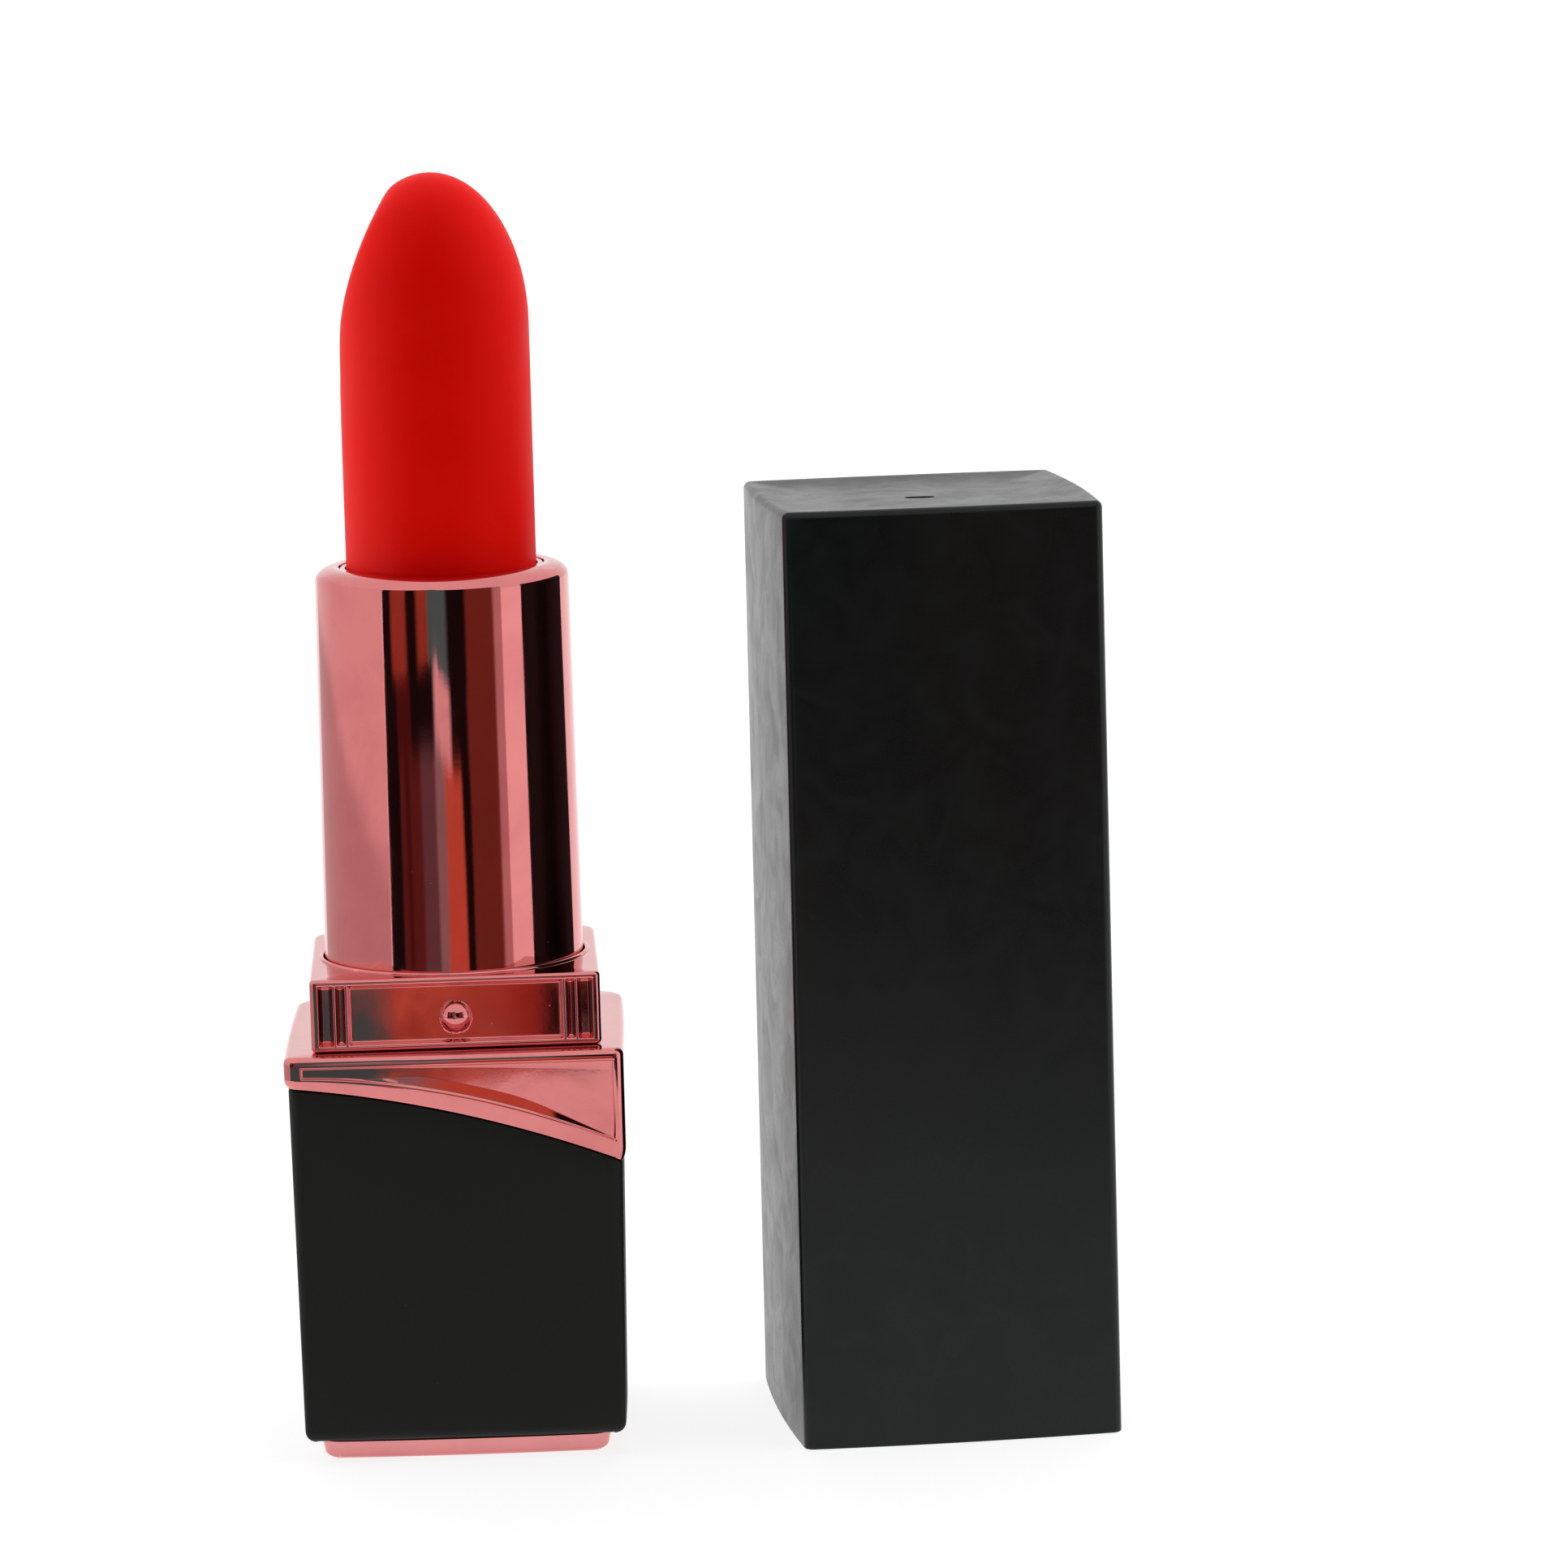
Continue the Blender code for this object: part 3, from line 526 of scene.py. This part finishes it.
def build_shoulder():
    """The shoulder: a band with a sunk panel front and back, a round hole, and a plug below."""
    low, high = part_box("shoulder_trim")
    marks = (PANEL_LEFT, PANEL_RIGHT, -PANEL_LEFT, -PANEL_RIGHT)
    square = Square(high.x - low.x, BODY_BULGE, BODY_CORNER, BACK_CORNER, marks)
    x = square.place[:, 0]
    bottom = seam_height(x)
    top = high.z
    on_panel = (square.side == FRONT) | (square.side == BACK)
    ceiling = top - PANEL_DROP
    floor = np.minimum(panel_floor(x), ceiling - PANEL_LEAST)
    ends = np.minimum(x - PANEL_LEFT, PANEL_RIGHT - x)

    # Above the panel's lower edge its floor leans a little, most of all in the middle.
    spread = smooth_step(x, *RAMP_LEFT) * smooth_step(x, *RAMP_RIGHT)
    ramp = PANEL_SOFT + (PANEL_RAMP - PANEL_SOFT) * spread

    def sunk(height):
        inside = np.minimum(ceiling - height, ends)
        share = smooth_step(inside, -PANEL_SOFT / 2, PANEL_SOFT / 2)
        step = smooth_step(height - floor, -PANEL_SOFT / 2, PANEL_SOFT / 2)
        lean = np.clip((height - floor) / ramp, 0, 1)
        return share * np.where(on_panel, PANEL_STEP * step + PANEL_LEAN * lean, 0)

    def band(start, end, shares):
        return [start + (end - start) * share for share in shares]

    soft = PANEL_SOFT * 0.6
    upper = np.minimum(floor + ramp + soft, ceiling - soft)
    heights = band(floor - soft, upper, np.linspace(0, 1, 25)[1:])
    heights += band(upper, ceiling - soft, np.linspace(0, 1, 9)[1:])
    heights += band(ceiling - soft, ceiling + soft, np.linspace(0, 1, 9)[1:])
    edge = SHOULDER_EDGE
    heights.append(np.full(len(x), top - edge))
    # Under the panel the wall curves in towards the joint line.
    rows = [square.row(SEAM_TUCK * (1 - share) ** 2.4, bottom + (floor - soft - bottom) * share)
            for share in np.linspace(0, 1, 14)]
    rows += [square.row(sunk(height), height) for height in heights]
    rows += [square.row(edge - out, top - edge + rise) for out, rise in arc(0, 0, edge, 15, 90, 6)]
    rows.append(square.circle(SHOULDER_HOLE + HOLE_EDGE, top))
    rows.append(square.circle(SHOULDER_HOLE, top - HOLE_EDGE))
    rows.append(square.circle(SHOULDER_HOLE, top - SHOULDER_PLATE))
    rows += [
        square.resized(PLUG_INSIDE, INNER_CORNER, top - SHOULDER_PLATE - HOLE_EDGE),
        square.resized(PLUG_INSIDE, INNER_CORNER, low.z),
        square.resized(PLUG_OUTSIDE, INNER_CORNER, low.z),
        square.resized(PLUG_OUTSIDE, INNER_CORNER, bottom),
    ]
    piece("shoulder", skin(rows), ROSE, "base", "rose_metal", "shoulder_trim")


# Turning pieces: the collar with its sunk windows and pips, and the tube

COLLAR_WIDTH = 16.8 * MM
COLLAR_CORNER = 0.4 * MM
COLLAR_BACK = 1.6 * MM
COLLAR_TURN = radians(1.3)
COLLAR_RECESS = 0.30 * MM
WINDOW_RECESS = 0.50 * MM
RIDGE_OUT = 0.19 * MM
RIDGE_IN = 0.10 * MM
COLLAR_RIM = 0.50 * MM
COLLAR_SPANS = (
    (-6.1, 6.1, COLLAR_RECESS),
    (6.5, 6.8, COLLAR_RECESS),
    (-6.8, -6.5, COLLAR_RECESS),
    (7.2, 7.8, WINDOW_RECESS),
    (-7.8, -7.2, WINDOW_RECESS),
)
PIP_RADIUS = 0.93 * MM
PIP_STAND = 0.62 * MM
PIP_DROP = 0.27 * MM
COLLAR_BORE = 7.66 * MM
COLLAR_DROP = 0.07 * MM
COLLAR_EDGE = 0.24 * MM
COLLAR_COARSE = 0.08 * MM
ROW_STEP = 0.05 * MM
RIDGE_STEP = 0.025 * MM
RIDGE_SPAN = 0.2 * MM
BEAD_RADIUS = 0.13 * MM
BEAD_OUT = 0.16 * MM
BORE_EDGE = 0.1 * MM


def build_collar():
    """The collar: sunk panels, grooves and windows on each side, and a domed pip front and back."""
    low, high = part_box("collar")
    low.z -= COLLAR_DROP
    spans = [(start * MM, end * MM, depth) for start, end, depth in COLLAR_SPANS]
    marks = [edge for span in spans for edge in span[:2]] + [-PIP_RADIUS, PIP_RADIUS]
    square = Square(COLLAR_WIDTH, 0, COLLAR_CORNER, COLLAR_BACK, marks, COLLAR_COARSE)
    across = square.along
    on_pip = (square.side == FRONT) | (square.side == BACK)
    pip_height = (low.z + high.z) / 2 - PIP_DROP

    def sunk(height):
        level = np.minimum(height - low.z - COLLAR_RIM, high.z - COLLAR_RIM - height)
        sink = np.zeros(across.shape)
        for start, end, depth in spans:
            inside = np.minimum(np.minimum(across - start, end - across), level)
            sink = np.maximum(sink, depth * smooth_step(inside, -RIDGE_OUT, RIDGE_IN))
        ball = (PIP_RADIUS ** 2 + PIP_STAND ** 2) / (2 * PIP_STAND)
        away = np.hypot(across, height - pip_height)
        dome = np.sqrt(np.clip(ball ** 2 - away ** 2, 0, None)) - ball + PIP_STAND
        return sink - np.where(on_pip, np.maximum(dome, 0), 0)

    edge = COLLAR_EDGE
    heights = list(np.arange(low.z + edge, high.z - edge, ROW_STEP)) + [high.z - edge]
    for mark in (low.z + COLLAR_RIM, high.z - COLLAR_RIM):
        heights += list(mark + np.arange(-RIDGE_SPAN, RIDGE_SPAN, RIDGE_STEP))
    heights = sorted(set(np.round(heights, 7)))
    rows = [square.row(edge - out, low.z + edge + rise) for out, rise in arc(0, 0, edge, -90, -10, 6)]
    rows += [square.row(sunk(height), height) for height in heights]
    rows += [square.row(edge - out, high.z - edge + rise) for out, rise in arc(0, 0, edge, 10, 90, 7)]
    # A low bead stands round the tube.
    bead = arc(COLLAR_BORE + BEAD_OUT, high.z, BEAD_RADIUS, 0, 180, 8)
    rows += [square.circle(radius, height) for radius, height in bead]
    rows += [square.circle(COLLAR_BORE, height) for height in (high.z - BORE_EDGE, low.z)]
    mesh = moved(skin(rows), Matrix.Rotation(COLLAR_TURN, 4, "Z"))
    piece("snap_collar", mesh, ROSE, "turning_tube", "rose_metal", "collar")


TUBE_TAPER = 0.18 * MM
TUBE_INSIDE = 7.05 * MM
LIP_INWARD = 1.20 * MM
LIP_RISE = 0.85 * MM
LIP_GAP = 0.06 * MM
LIP_STEP = 0.04 * MM
LIP_ROOM = 0.2 * MM


def build_tube():
    """The tube: a slight taper and a rounded lip round the cup."""
    low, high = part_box("outer_tube")
    _, cup_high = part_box("carrier_cup")
    cup_radius = cup_high.y
    radius = high.x
    _, collar_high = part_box("collar")
    lip = radius - TUBE_TAPER - LIP_INWARD
    hole = cup_radius + LIP_GAP
    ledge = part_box("spiral_sleeve")[1].z + LIP_ROOM
    profile = [(radius, low.z), (radius, collar_high.z)]
    for share in np.linspace(0, 1, 24)[1:-1]:
        rise = collar_high.z + (high.z - LIP_RISE - collar_high.z) * share
        profile.append((radius - TUBE_TAPER * share, rise))
    for out, rise in arc(0, 0, 1, 0, 84, 24):
        profile.append((lip + LIP_INWARD * out, high.z - LIP_RISE * (1 - rise)))
    profile.append((hole, high.z - LIP_STEP))
    profile += [(hole, ledge), (TUBE_INSIDE, ledge), (TUBE_INSIDE, low.z)]
    piece("tube", skin(turned_rows(profile)), ROSE, "turning_tube", "rose_metal", "outer_tube")


# Rising pieces: the cup and the stick

LUG_RADIUS = 0.9 * MM
LUG_HEIGHT = 1.5 * MM
LUG_LENGTH = 1.32 * MM
LUG_EDGE = 0.12 * MM
CUP_WALL = 0.32 * MM
CUP_STAND = 0.16 * MM
CUP_FLOOR = 1.0 * MM
CUP_FOOT_EDGE = 0.3 * MM
CUP_OUTER_EDGE = 0.1 * MM
CUP_INNER_EDGE = 0.06 * MM


def lug_mesh(reach, height, turn):
    """A round peg along X with a rounded end."""
    profile = [(LUG_RADIUS, 0.0)]
    profile += arc(LUG_RADIUS - LUG_EDGE, LUG_LENGTH - LUG_EDGE, LUG_EDGE, 0, 90, 3)
    mesh = skin(turned_rows(profile, 40), closed=False)
    out = Matrix.Translation((reach - LUG_LENGTH, 0, height)) @ Matrix.Rotation(pi / 2, 4, "Y")
    return moved(mesh, Matrix.Rotation(turn, 4, "Z") @ out)


def build_cup():
    """The cup round the foot of the stick, with its two lugs."""
    low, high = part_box("carrier_cup")
    high.z += CUP_STAND
    radius = high.y
    inside = radius - CUP_WALL
    edges = CUP_FOOT_EDGE, CUP_OUTER_EDGE, CUP_INNER_EDGE
    profile = arc(radius - edges[0], low.z + edges[0], edges[0], -90, 0, 6)
    profile += arc(radius - edges[1], high.z - edges[1], edges[1], 0, 90, 6)
    profile += arc(inside + edges[2], high.z - edges[2], edges[2], 90, 180, 4)
    profile.append((inside, low.z + CUP_FLOOR))
    mesh = skin(turned_rows(profile), closed=False)
    for turn in (0, pi):
        mesh = combined(mesh, lug_mesh(high.x, low.z + LUG_HEIGHT, turn), "UNION")
    piece("cup", mesh, ROSE, "bullet_carrier", "rose_metal", "carrier_cup")


DOME_HEIGHT = 8.8 * MM
DOME_STAND = 0.05 * MM
SLANT_SOFT = 0.45 * MM
SLANT_END = 11.8 * MM
STICK_COLUMNS = 160


def slant(depth):
    """Distance of the stick's slanted face from its axis, at this depth below the tip."""
    return 0.00185 + 0.66 * depth - 28 * min(depth, SLANT_END) ** 2


def build_stick():
    """The stick: a cylinder under a tall dome, with one slanted face that blends softly into it."""
    low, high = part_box("lipstick_bullet")
    radius = high.y
    top = high.z + DOME_STAND
    dome = top - DOME_HEIGHT
    angle = np.arange(STICK_COLUMNS) * 2 * pi / STICK_COLUMNS
    heights = list(np.linspace(low.z, dome, 60))
    heights += [dome + DOME_HEIGHT * sin(pi / 2 * step / 60) for step in range(1, 60)]
    rows = []
    for height in heights:
        up = max(0.0, (height - dome) / DOME_HEIGHT)
        ring = radius * sqrt(1 - up * up)
        flat = slant(top - height)
        left, x, y = -flat, ring * np.cos(angle), ring * np.sin(angle)
        if flat < ring + 4 * SLANT_SOFT:
            x = (x + left + np.sqrt((x - left) ** 2 + SLANT_SOFT ** 2 * 0.25)) / 2
        rows.append(np.column_stack([x, y, np.full(STICK_COLUMNS, height)]))
    piece("stick", skin(rows, closed=False), RED, "bullet_carrier", "red_stick", "lipstick_bullet")


# Cap

CAP_WIDTH = 19.39 * MM
CAP_TURN = radians(5.9)
CAP_BULGE = 0.35 * MM
CAP_CORNER = 0.6 * MM
CAP_DRAFT = 0.1 * MM
CAP_EDGE = 0.4 * MM
CAP_DISH = 0.4 * MM
CAP_ROOF = 1.2 * MM
CAP_INSIDE = 17.9 * MM
MOUTH_EDGE = 0.12 * MM
MOUTH_FLARE = 0.2 * MM
GATE_LENGTH = 1.8 * MM
GATE_WIDTH = 0.9 * MM
GATE_DEPTH = 0.3 * MM


def gate_mesh(top):
    """The shallow round-ended recess that the moulding gate leaves in the cap's top."""
    round_end = GATE_WIDTH / 2
    straight = (GATE_LENGTH - GATE_WIDTH) / 2
    outline = arc(straight, 0, round_end, -90, 90, 12) + arc(-straight, 0, round_end, 90, 270, 12)
    flat = np.array(outline)
    heights = (top - GATE_DEPTH, top + GATE_DEPTH)
    rows = [np.column_stack([flat, np.full(len(flat), height)]) for height in heights]
    return skin(rows, closed=False)


def build_cap():
    """The cap: bowed sides, a rounded upper edge and a dished top with the gate recess in it."""
    low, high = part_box("cap_shell")
    height = high.z - low.z
    square = Square(CAP_WIDTH, CAP_BULGE, CAP_CORNER)
    rows = [
        square.resized(CAP_INSIDE, CAP_CORNER, high.z - CAP_ROOF),
        square.resized(CAP_INSIDE, CAP_CORNER, low.z + MOUTH_FLARE / 2),
        square.resized(CAP_INSIDE + MOUTH_FLARE, CAP_CORNER, low.z),
    ]
    rows += [square.row(MOUTH_EDGE - out, low.z + MOUTH_EDGE + rise)
             for out, rise in arc(0, 0, MOUTH_EDGE, -90, 0, 4)]
    for share in np.linspace(0, 1, 24)[1:-1]:
        rows.append(square.row(CAP_DRAFT * share, low.z + share * height))
    for out, rise in arc(0, 0, CAP_EDGE, 0, 90, 8):
        rows.append(square.row(CAP_DRAFT + CAP_EDGE - out, high.z - CAP_EDGE + rise))
    rim = CAP_DRAFT + CAP_EDGE
    start = square.row(rim, 0)[:, :2]
    for share in np.linspace(0, 1, 26)[1:-1]:
        fall = CAP_DISH * (1 - (1 - min(1, share * 2.2)) ** 2)
        round_off = smooth_step(share, 0, 0.8)
        ring = start / np.linalg.norm(start, axis=1)[:, None] * square.half
        flat = (start * (1 - round_off) + ring * round_off) * (1 - share)
        rows.append(np.column_stack([flat, np.full(len(flat), high.z - fall)]))
    mesh = combined(skin(rows, closed=False), gate_mesh(high.z - CAP_DISH), "DIFFERENCE")
    middle = (low + high) / 2
    place = Matrix.Translation((middle.x, middle.y, 0)) @ Matrix.Rotation(CAP_TURN, 4, "Z")
    piece("cap_body", moved(mesh, place), SATIN, "cap", "satin_black", "cap_shell")


build_foot()
build_shell()
build_shoulder()
build_collar()
build_tube()
build_cup()
build_stick()
build_cap()

INNER_LOOKS = {
    "base_core": BLACK,
    "base_weight": STEEL,
    "slotted_tube": WHITE,
    "spiral_sleeve": WHITE,
    "friction_ring": SILICONE,
    "cap_liner": BLACK,
}
for name, look in INNER_LOOKS.items():
    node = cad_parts[name]
    for index in range(max(1, len(node.material_slots))):
        if not node.material_slots:
            node.data.materials.append(look)
        node.material_slots[index].material = look


# Studio: pale floor, white tent and, in front of the case, the dark opening of the tent

FLOOR_SIZE = 12.0
FLOOR_GREY = 0.22
FLOOR_GLOW = 0.84
TENT_FILL = 1.35

NEAR_BLACK = (0.012, 0.010, 0.010)
MAROON = (0.080, 0.018, 0.018)
PLUM = (0.150, 0.110, 0.125)
SLATE = (0.085, 0.290, 0.270)
SLATE_DARK = (0.065, 0.200, 0.190)
PALE = (0.900, 0.850, 0.850)
PALE_DIM = (0.320, 0.330, 0.330)
ORANGE = (0.620, 0.190, 0.110)
BROWN = (0.190, 0.060, 0.040)
DUSKY = (0.600, 0.480, 0.480)
RUST = (0.120, 0.036, 0.032)
EMBER = (0.360, 0.100, 0.060)
BRICK_DARK = (0.360, 0.095, 0.060)
BRICK_LIGHT = (0.680, 0.250, 0.150)
BRICK_DEEP = (0.360, 0.060, 0.042)
SIDE_DIM = (0.660, 0.610, 0.610)
SIDE_LIGHT = (0.940, 0.900, 0.900)

# Each band's colour starts at a bearing in degrees, seen from the case, with 0 towards the camera.
CROWN_BANDS = (
    (-90, NEAR_BLACK), (-45, EMBER), (-32, NEAR_BLACK), (-22, EMBER),
    (-12, SLATE), (4, NEAR_BLACK), (21, BROWN), (46, DUSKY),
)
UPPER_BANDS = (
    (-90, NEAR_BLACK), (-42, MAROON), (-30, NEAR_BLACK), (-8, PALE),
    (5, NEAR_BLACK), (20, BROWN), (46, DUSKY),
)
LOWER_BANDS = (
    (-90, NEAR_BLACK), (-41, RUST), (-37, MAROON), (-33, RUST), (-23, PLUM),
    (-9, PALE_DIM), (-2, ORANGE), (13, NEAR_BLACK), (21, BROWN), (46, DUSKY),
)

# Where the opening's card stands: bearing in degrees, and distance from the case.
OPENING_PLAN = (
    (-53, 0.122), (-42, 0.120), (-30, 0.118), (-20, 0.112), (-11, 0.098), (-5.5, 0.092),
    (-3.5, 0.118), (2, 0.128), (12, 0.138), (24, 0.136), (36, 0.130), (46, 0.126), (54, 0.124),
)
OPENING_TOP = 0.085
SHADE_TOP = 0.30
SIDE_PLAN = [(turn, 0.12) for turn in range(-150, -53, 4)]
SIDE_TOP = 0.10
CARD_FOOT = 0.0003


def add_stage(name, points, faces, look):
    """A piece of the studio, which isn't part of the object."""
    mesh = bpy.data.meshes.new(name)
    mesh.from_pydata(points, [], faces)
    mesh.materials.append(look)
    made = bpy.data.objects.new(name, mesh)
    bpy.context.scene.collection.objects.link(made)
    return made


def build_floor():
    look, shader, _ = new_material("pale_floor")
    shader.inputs["Base Color"].default_value = (FLOOR_GREY, FLOOR_GREY, FLOOR_GREY, 1)
    shader.inputs["Roughness"].default_value = 0.9
    shader.inputs["Specular IOR Level"].default_value = 0.1
    shader.inputs["Emission Color"].default_value = (1, 1, 1, 1)
    shader.inputs["Emission Strength"].default_value = FLOOR_GLOW
    corners = [(x * FLOOR_SIZE, y * FLOOR_SIZE, 0) for x, y in ((-1, -1), (1, -1), (1, 1), (-1, 1))]
    add_stage("floor", corners, [(0, 1, 2, 3)], look)


def build_world():
    """An even white tent, which gives matt surfaces a little more light than mirrors show of it."""
    world = bpy.data.worlds.new("tent")
    bpy.context.scene.world = world
    world.use_nodes = True
    s = Shade(world.node_tree)
    on_matt = s.add("ShaderNodeLightPath").outputs["Is Diffuse Ray"]
    background = world.node_tree.nodes["Background"]
    background.inputs["Color"].default_value = (1, 1, 1, 1)
    s.link(s.span(on_matt, 0, 1, 1.0, TENT_FILL, "LINEAR"), background.inputs["Strength"])


def new_glow(name):
    """A material that only gives off light, its colour socket, and the helper for its other nodes."""
    made = bpy.data.materials.new(name)
    made.use_nodes = True
    made.node_tree.nodes.clear()
    s = Shade(made.node_tree)
    glow = s.add("ShaderNodeEmission")
    out = s.add("ShaderNodeOutputMaterial")
    s.link(glow.outputs["Emission"], out.inputs["Surface"])
    return made, glow.inputs["Color"], s


def card(name, plan, low, high, look):
    """An upright card, folded along a plan round the case, that the camera doesn't see."""
    flat = [(far * sin(radians(turn)), -far * cos(radians(turn))) for turn, far in plan]
    points = [(*place, height) for height in (low, high) for place in flat]
    count = len(flat)
    faces = [(i, i + 1, count + i + 1, count + i) for i in range(count - 1)]
    made = add_stage(name, points, faces, look)
    made.visible_camera = False
    return made


def bands(s, bearing, stops, blur):
    """Colours by bearing in degrees: each holds until the next stop, with soft edges between."""
    ramp = s.add("ShaderNodeValToRGB")
    s.link(s.span(bearing, -pi / 2, pi / 2, kind="LINEAR"), ramp.inputs["Fac"])
    points = ramp.color_ramp.elements
    spots = []
    for index, (start, colour) in enumerate(stops):
        place = start / 180 + 0.5
        if index:
            spots.append((place - blur, stops[index - 1][1]))
        spots.append((place + blur, colour))
    while len(points) > 1:
        points.remove(points[0])
    points[0].position, points[0].color = spots[0][0], (*spots[0][1], 1)
    for place, colour in spots[1:]:
        points.new(place).color = (*colour, 1)
    return ramp.outputs["Color"]


def place_on_card(s):
    """X, Y and height on a card, and the bearing from the case in radians."""
    split = s.add("ShaderNodeSeparateXYZ")
    s.link(s.place, split.inputs["Vector"])
    x, y, z = split.outputs
    return x, y, z, s.math("ARCTAN2", x, s.math("MULTIPLY", y, -1.0))


def build_opening():
    """The dark gap in the front of the tent, in four zones of colour from the floor up."""
    look, socket, s = new_glow("opening")
    x, y, z, bearing = place_on_card(s)
    drift = s.noise(45, 3.0, vector=s.stretched((1, 1, 0.5)))
    wobble = s.math("MULTIPLY", s.math("SUBTRACT", drift, 0.5), 0.10)
    bearing = s.math("ADD", bearing, wobble)
    # The camera looks down, so a height on the case is seen reflected lower, the farther away the more.
    reach = s.math("SQRT", s.math("ADD", s.math("MULTIPLY", x, x), s.math("MULTIPLY", y, y)))
    level = s.math("MULTIPLY_ADD", reach, 0.18, z)
    level = s.math("ADD", level, s.math("MULTIPLY", wobble, 0.02))
    crown = bands(s, bearing, CROWN_BANDS, 0.008)
    upper = bands(s, bearing, UPPER_BANDS, 0.007)
    lower = bands(s, bearing, LOWER_BANDS, 0.007)
    mottle = s.noise(420, 5.0, 0.65, warp=1.2)
    brick = s.mix(s.span(mottle, 0.35, 0.7), BRICK_DARK, BRICK_LIGHT)
    brick = s.mix(s.span(x, 0.003, 0.008), brick, BRICK_DEEP)
    brick = s.mix(s.span(x, 0.0082, 0.0096), brick, NEAR_BLACK)
    # The split between slate and brick stands farther right for the collar, which is turned a little.
    edge = s.math("MULTIPLY_ADD", mottle, 0.004, x)
    edge = s.math("ADD", edge, s.span(level, 0.0236, 0.0250, 0.0, -0.0063))
    near_floor = s.mix(s.span(edge, -0.0077, -0.0070), SLATE_DARK, brick)
    colour = s.mix(s.span(level, 0.0465, 0.0500), lower, upper)
    colour = s.mix(s.span(level, 0.0535, 0.0550), colour, crown)
    colour = s.mix(s.span(level, 0.0297, 0.0305), near_floor, colour)
    s.link(colour, socket)
    card("opening", OPENING_PLAN, CARD_FOOT, OPENING_TOP, look)
    # Higher up the opening only takes light away.
    card("opening_shade", OPENING_PLAN, OPENING_TOP, SHADE_TOP, look).visible_glossy = False


def build_side_panel():
    """A soft grey panel on the left, split by a slanting line, that only mirrors see."""
    look, socket, s = new_glow("side_panel")
    _, _, z, bearing = place_on_card(s)
    slant = s.math("MULTIPLY_ADD", bearing, 0.01076, z)
    slant = s.math("ADD", slant, s.math("MULTIPLY", s.noise(20, 3.0), 0.006))
    s.link(s.mix(s.span(slant, 0.0078, 0.0128), SIDE_DIM, SIDE_LIGHT), socket)
    panel = card("side_panel", SIDE_PLAN, CARD_FOOT, SIDE_TOP, look)
    panel.visible_diffuse = False
    panel.visible_shadow = False


build_floor()
build_world()
build_opening()
build_side_panel()
bpy.context.scene.view_settings.view_transform = "Standard"
